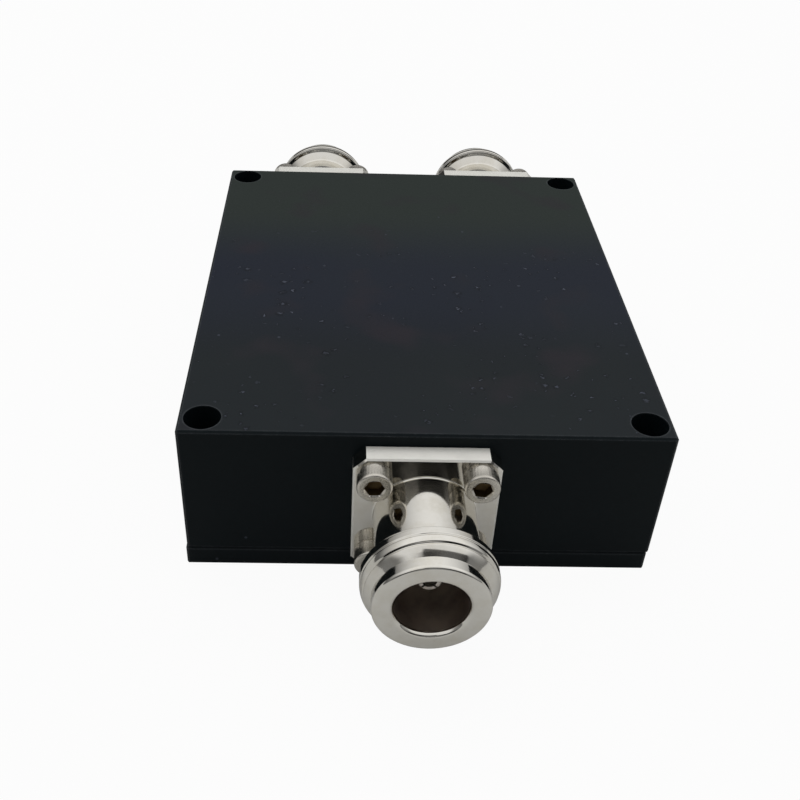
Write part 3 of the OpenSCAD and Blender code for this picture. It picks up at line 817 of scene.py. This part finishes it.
class SPLITTER_OT_flange_screws(bpy.types.Operator):
    """Builds the socket-head screws of the three flanges"""
    bl_idname = "splitter.flange_screws"
    bl_label = "Flange Screws"

    def execute(self, context):
        scene = context.scene
        finishes = scene.splitter_finishes
        steel = plated("screw_steel", finishes.steel, worn=0.8,
                       roughness=(0.22, 0.38), per_metre=3000.0)
        # Inside the hexagons: painted shade, a dark brown metal
        shaded_hexagon = plated("screw_hexagon_painted_shade", finishes.shaded_hexagon, worn=0.6,
                          roughness=(0.4, 0.6), per_metre=3000.0)
        for port in PORTS:
            piece = make_piece(
                port + "_flange_screws", port_matrix(port),
                lambda bm: flange_screws(bm, scene.splitter_screws, scene.splitter_connector,
                                         SCREW_TURNS[port]),
                (steel, shaded_hexagon))
            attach(piece, BODY)
            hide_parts(port + "_screws")
        finish_nodes(steel, "cover_screws", "board_screws")
        return {"FINISHED"}


class SPLITTER_OT_contacts(bpy.types.Operator):
    """Gives the contacts and their insulators their finish"""
    bl_idname = "splitter.contacts"
    bl_label = "Contacts and Insulators"

    def execute(self, context):
        finishes = context.scene.splitter_finishes
        contact = plated("contact_plate", finishes.contact, worn=0.85,
                         roughness=(0.3, 0.45), per_metre=4000.0)
        plastic = moulded("white_insulator", finishes.insulator, clouded=0.92,
                          roughness=(0.4, 0.55), per_metre=6000.0)
        finish_nodes(contact, *(port + "_contact" for port in PORTS))
        finish_nodes(plastic, *(port + "_insulator" for port in PORTS))
        return {"FINISHED"}


class SPLITTER_OT_circuit(bpy.types.Operator):
    """Gives the circuit inside the housing its finishes"""
    bl_idname = "splitter.circuit"
    bl_label = "Circuit"

    def execute(self, context):
        finishes = context.scene.splitter_finishes
        copper = plated("copper_track", finishes.copper, worn=0.7,
                        roughness=(0.25, 0.45), per_metre=2500.0)
        resistor = moulded("resistor_body", finishes.resistor, clouded=1.6,
                           roughness=(0.3, 0.5), per_metre=9000.0)
        solder = plated("solder", finishes.solder, worn=0.85,
                        roughness=(0.2, 0.4), per_metre=1800.0)
        finish_nodes(woven_board(finishes), "circuit_board")
        finish_nodes(copper, "divider_track")
        finish_nodes(resistor, "isolation_resistors")
        finish_nodes(solder, "resistor_terminals", "solder_fillets")
        return {"FINISHED"}


def room_light(tree, direction):
    """Brightness of the room by direction, with a dark ring and a dark screen in front."""
    parts = add(tree, "SeparateXYZ", {"Vector": direction})
    across, along, up = (parts.outputs[axis] for axis in "XYZ")
    ahead = spread(tree, up, *ROOM_AHEAD, "SMOOTHSTEP")
    leaning = calculate(tree, "ADD", up, calculate(tree, "MULTIPLY", across, ROOM_LEAN))
    behind = calculate(tree, "MULTIPLY", spread(tree, leaning, *ROOM_BEHIND),
                       spread(tree, along, *ROOM_FAR_END))
    bright = spread(tree, along, *ROOM_MIDDLE, ahead, behind)
    ring = calculate(tree, "MAXIMUM", spread(tree, along, *RING_OUTER, "SMOOTHSTEP"),
                     spread(tree, along, *RING_INNER, "SMOOTHSTEP"))
    bright = calculate(tree, "MULTIPLY", bright, ring)
    bright = calculate(tree, "MAXIMUM", bright, spread(tree, up, *ROOM_BELOW))
    screen = spread(tree, dot_product(tree, direction, SCREEN), *SCREEN_ENDS, "SMOOTHSTEP")
    crossing = dot_product(tree, direction, SCREEN_BAND)
    for edge in (SCREEN_LOW_EDGE, SCREEN_HIGH_EDGE):
        screen = calculate(tree, "MULTIPLY", screen, spread(tree, crossing, *edge, "SMOOTHSTEP"))
    return calculate(tree, "MULTIPLY", bright,
                     spread(tree, screen, 0.0, 1.0, 1.0, SCREEN_BRIGHTNESS))


def light_room(scene):
    """A white background for the camera and a soft room for light and reflections."""
    world = bpy.data.worlds.new("room")
    world.use_nodes = True
    scene.world = world
    tree = world.node_tree
    direction = add(tree, "TexCoord").outputs["Generated"]
    seen = add(tree, "LightPath").outputs["Is Camera Ray"]
    grey = add(tree, "CombineColor")
    brightness = room_light(tree, direction)
    for channel in ("Red", "Green", "Blue"):
        feed(tree, grey.inputs[channel], brightness)
    feed(tree, tree.nodes["Background"].inputs["Color"],
         blend(tree, seen, grey.outputs["Color"], WHITE))


def floor_material(stage):
    """Pale floor, clear from below, that shows white to the camera and keeps a faint shadow."""
    material, tree, surface = shader("pale_floor")
    clouds = noise(tree, places(tree), per_metre=3.0)
    feed(tree, surface.inputs["Base Color"],
         blend(tree, clouds, stage.floor_colour, toned(stage.floor_colour, 0.97)))
    feed(tree, surface.inputs["Roughness"], spread(tree, clouds, 0.3, 0.7, 0.85, 0.95))
    surface.inputs["Specular IOR Level"].default_value = 0.1
    white = add(tree, "Emission", {"Color": opaque(WHITE), "Strength": 1.0})
    path = add(tree, "LightPath")
    camera = calculate(tree, "MULTIPLY", path.outputs["Is Camera Ray"], FLOOR_SEEN)
    mirrored = calculate(tree, "MAXIMUM", path.outputs["Is Glossy Ray"],
                         path.outputs["Is Transmission Ray"])
    mirrored = calculate(tree, "MULTIPLY", mirrored, FLOOR_MIRRORED)
    mixed = add(tree, "MixShader", {"Fac": calculate(tree, "MAXIMUM", camera, mirrored)})
    feed(tree, mixed.inputs[1], surface.outputs["BSDF"])
    feed(tree, mixed.inputs[2], white.outputs["Emission"])
    one_sided = add(tree, "MixShader", {"Fac": add(tree, "NewGeometry").outputs["Backfacing"]})
    feed(tree, one_sided.inputs[1], mixed.outputs["Shader"])
    feed(tree, one_sided.inputs[2], add(tree, "BsdfTransparent").outputs["BSDF"])
    feed(tree, tree.nodes["Material Output"].inputs["Surface"], one_sided.outputs["Shader"])
    return material


class SPLITTER_OT_stage(bpy.types.Operator):
    """Builds the floor, the light and the camera"""
    bl_idname = "splitter.stage"
    bl_label = "Stage"

    def execute(self, context):
        scene = context.scene
        stage = scene.splitter_stage
        half = stage.floor_side / 2.0
        mesh = bpy.data.meshes.new("floor")
        mesh.from_pydata(
            [(-half, -half, -FLOOR_GAP), (half, -half, -FLOOR_GAP),
             (half, half, -FLOOR_GAP), (-half, half, -FLOOR_GAP)],
            [], [(0, 1, 2, 3)])
        mesh.materials.append(floor_material(stage))
        floor = bpy.data.objects.new("floor", mesh)
        scene.collection.objects.link(floor)

        softbox = bpy.data.lights.new("softbox", "AREA")
        softbox.size = stage.softbox_side
        softbox.energy = stage.softbox_power
        lamp = bpy.data.objects.new("softbox", softbox)
        lamp.location = LAMP_PLACE
        lamp.rotation_euler = (-LAMP_PLACE).to_track_quat("-Z", "Y").to_euler()
        lamp.visible_glossy = False
        scene.collection.objects.link(lamp)

        light_room(scene)
        scene.view_settings.view_transform = "Standard"

        camera = bpy.data.cameras.new("camera")
        camera.sensor_width = SENSOR_WIDTH
        camera.lens = stage.lens
        camera.shift_x, camera.shift_y = CAMERA_SHIFT
        camera.clip_start = NEAREST_SEEN
        holder = bpy.data.objects.new("camera", camera)
        holder.location = CAMERA_PLACE
        holder.rotation_euler = [math.radians(turn) for turn in CAMERA_TURN]
        scene.collection.objects.link(holder)
        scene.camera = holder
        return {"FINISHED"}


OPERATORS = (
    SPLITTER_OT_housing,
    SPLITTER_OT_connector_bodies,
    SPLITTER_OT_flange_screws,
    SPLITTER_OT_contacts,
    SPLITTER_OT_circuit,
    SPLITTER_OT_stage,
)


class SPLITTER_PT_panel(bpy.types.Panel):
    """Lists the operators that dress the splitter"""
    bl_idname = "SPLITTER_PT_panel"
    bl_label = "Power Splitter"
    bl_space_type = "VIEW_3D"
    bl_region_type = "UI"
    bl_category = "Splitter"

    def draw(self, context):
        for operator in OPERATORS:
            self.layout.operator(operator.bl_idname)


GROUPS = {
    "splitter_connector": SplitterConnector,
    "splitter_screws": SplitterScrews,
    "splitter_finishes": SplitterFinishes,
    "splitter_stage": SplitterStage,
}
CLASSES = (*GROUPS.values(), *OPERATORS, SPLITTER_PT_panel)


def register():
    for item in CLASSES:
        bpy.utils.register_class(item)
    for name, group in GROUPS.items():
        setattr(bpy.types.Scene, name, PointerProperty(type=group))


def unregister():
    for name in GROUPS:
        delattr(bpy.types.Scene, name)
    for item in reversed(CLASSES):
        bpy.utils.unregister_class(item)


def main():
    register()
    bpy.ops.splitter.housing()
    bpy.ops.splitter.connector_bodies()
    bpy.ops.splitter.flange_screws()
    bpy.ops.splitter.contacts()
    bpy.ops.splitter.circuit()
    bpy.ops.splitter.stage()


if __name__ == "__main__":
    main()
